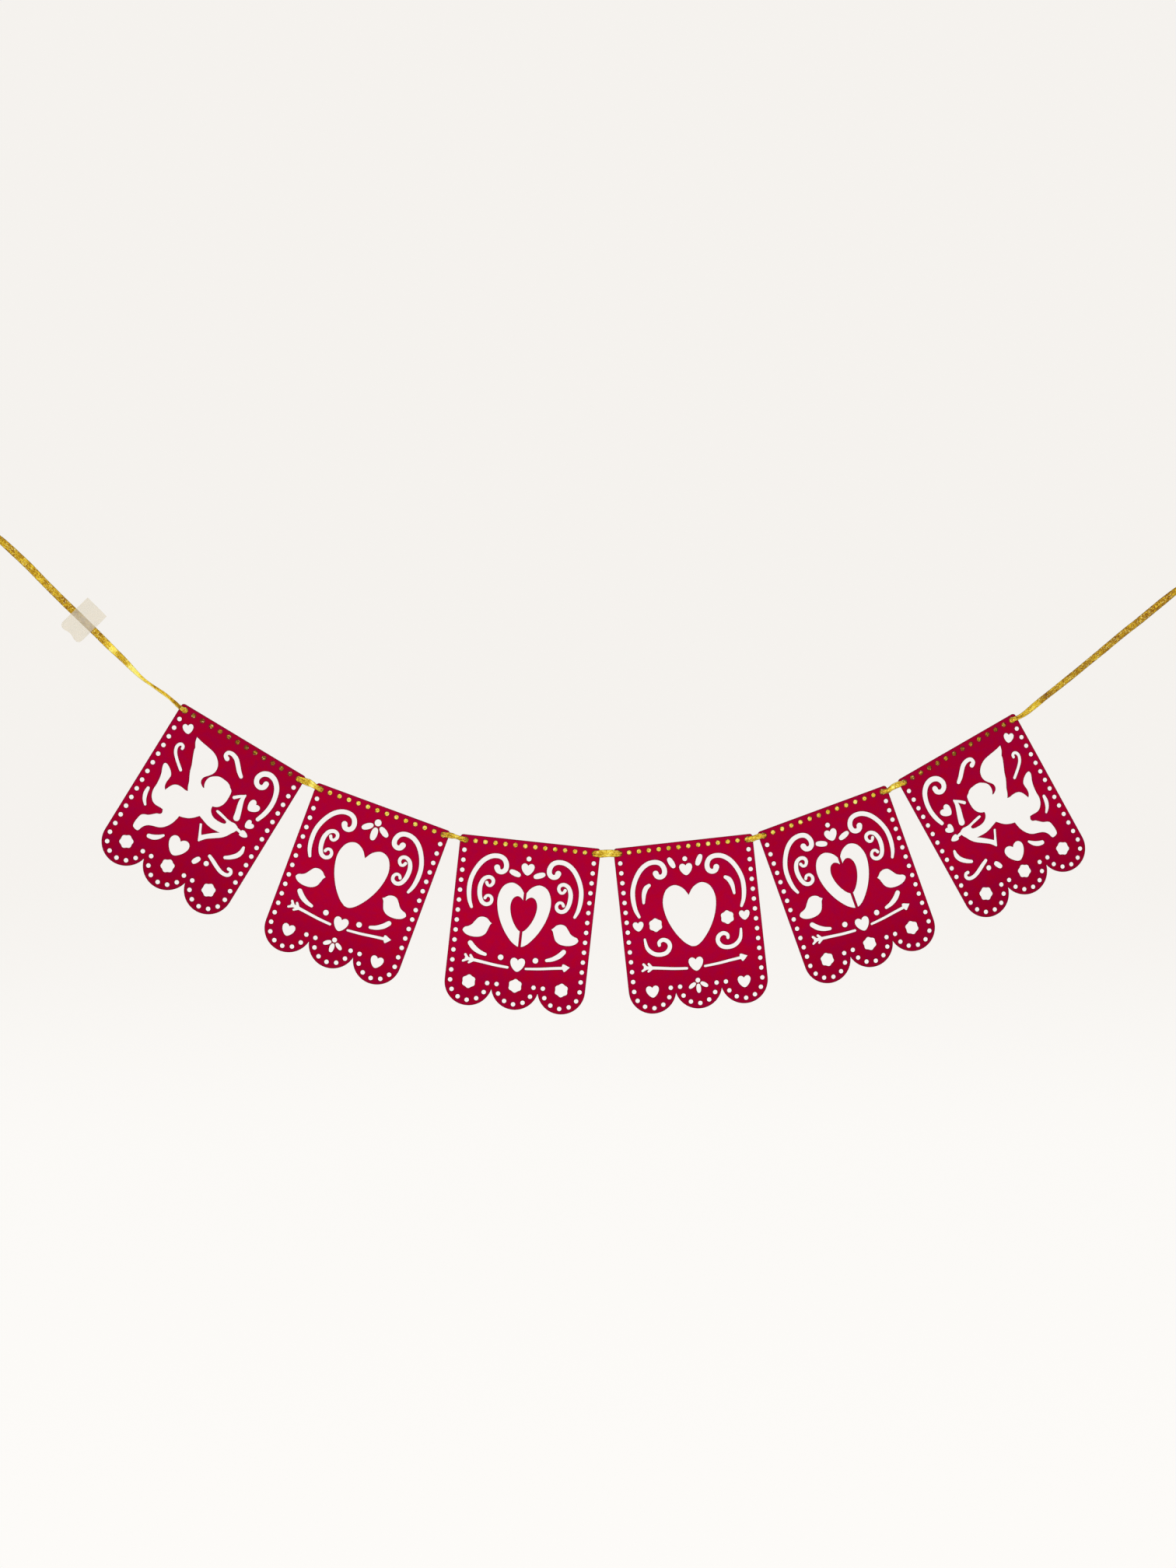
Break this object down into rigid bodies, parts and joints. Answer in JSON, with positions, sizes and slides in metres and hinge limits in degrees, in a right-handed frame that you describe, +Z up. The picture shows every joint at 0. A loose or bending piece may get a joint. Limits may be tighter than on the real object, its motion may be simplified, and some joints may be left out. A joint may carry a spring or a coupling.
{
  "type": "paper bunting",
  "caption": "Row of scalloped card panels with cut-out hearts, birds, arrows and cherubs, threaded on a flat gold ribbon with a knotted hanging loop at each end.",
  "frame": {"origin": "inside of the left hanging loop, where the loop rests on its nail or hook", "axes": "+X along the row to the right as seen from the front, +Y out of the back towards the wall, +Z up"},
  "size_m": [0.8889, 0.0068, 0.3557],
  "materials": {
    "card_crimson": "matte",
    "ribbon_gold": "satin",
    "tape_clear": "matte"
  },
  "bodies": {
    "root": {"panel_1_cherub": "card_crimson", "panel_2_heart": "card_crimson", "panel_3_bridged_heart": "card_crimson", "panel_4_heart": "card_crimson", "panel_5_bridged_heart": "card_crimson", "panel_6_cherub": "card_crimson", "ribbon_woven": "ribbon_gold", "ribbon_tail_left": "ribbon_gold", "ribbon_tail_right": "ribbon_gold", "ribbon_loop_left": "ribbon_gold", "ribbon_loop_right": "ribbon_gold", "tape_strip": "tape_clear"}
  },
  "joints": []
}
